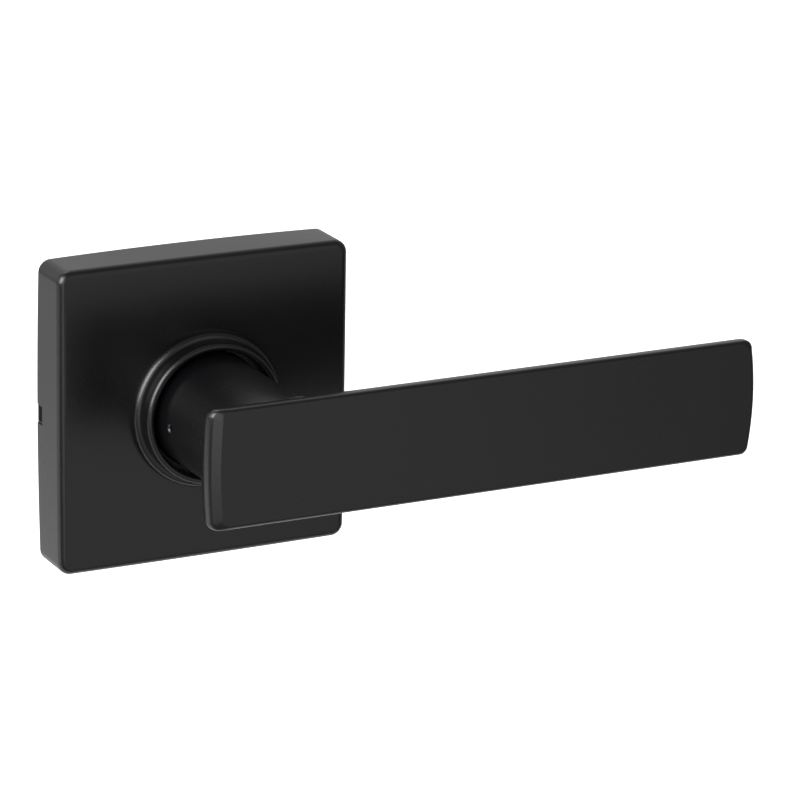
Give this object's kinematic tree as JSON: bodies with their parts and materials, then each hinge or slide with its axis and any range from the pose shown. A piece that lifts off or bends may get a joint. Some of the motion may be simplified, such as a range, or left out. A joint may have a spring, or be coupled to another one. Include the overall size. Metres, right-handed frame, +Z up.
{
  "type": "door lever handle",
  "caption": "Straight flat-faced door lever on a square rose with a stepped round collar, with its spindle, return spring, screws and sprung release catch.",
  "frame": {"origin": "on the door's face, where the turning axis of the lever and spindle meets it", "axes": "+X runs along the lever towards its free end, +Z is up, +Y goes into the door along the spindle, so the lever stands out of the door along -Y"},
  "size_m": [0.1459, 0.097, 0.0678],
  "materials": {
    "black_coat": "matte black coat, fine-grained, on die-cast metal",
    "zinc_plate": "bright zinc plate on steel",
    "spring_steel": "drawn and hardened steel",
    "bronze": "sintered bronze, dull",
    "nylon": "natural nylon, matt",
    "black_nylon": "black nylon, matt"
  },
  "bodies": {
    "rose_set": {"rose": "black_coat", "rose_liner": "black_nylon", "collar_bush": "black_nylon", "mounting_plate": "zinc_plate", "hub_bearing": "bronze", "spring_cage": "zinc_plate", "return_spring": "spring_steel", "mounting_screw_left": "zinc_plate", "mounting_screw_right": "zinc_plate", "cage_rivet_upper": "zinc_plate", "cage_rivet_lower": "zinc_plate"},
    "lever_set": {"lever": "black_coat", "drive_sleeve": "zinc_plate", "spindle": "zinc_plate", "spindle_pin": "spring_steel", "spring_driver": "zinc_plate", "thrust_washer": "nylon", "wave_washer": "spring_steel", "retaining_ring": "spring_steel", "catch_spring": "spring_steel"},
    "catch_set": {"lever_catch": "spring_steel"}
  },
  "joints": [
    {"name": "lever_turn", "type": "hinge", "parent": "rose_set", "child": "lever_set", "pos_m": [0, 0, 0], "axis": [0, 1, 0], "range_deg": [-45, 45], "stiffness_Nm_per_rad": 2.5, "deforming": ["return_spring"]},
    {"name": "catch_slide", "type": "slide", "parent": "lever_set", "child": "catch_set", "axis": [1, 0, 0], "range_m": [0, 0.0018], "stiffness_N_per_m": 500, "deforming": ["catch_spring"]}
  ]
}
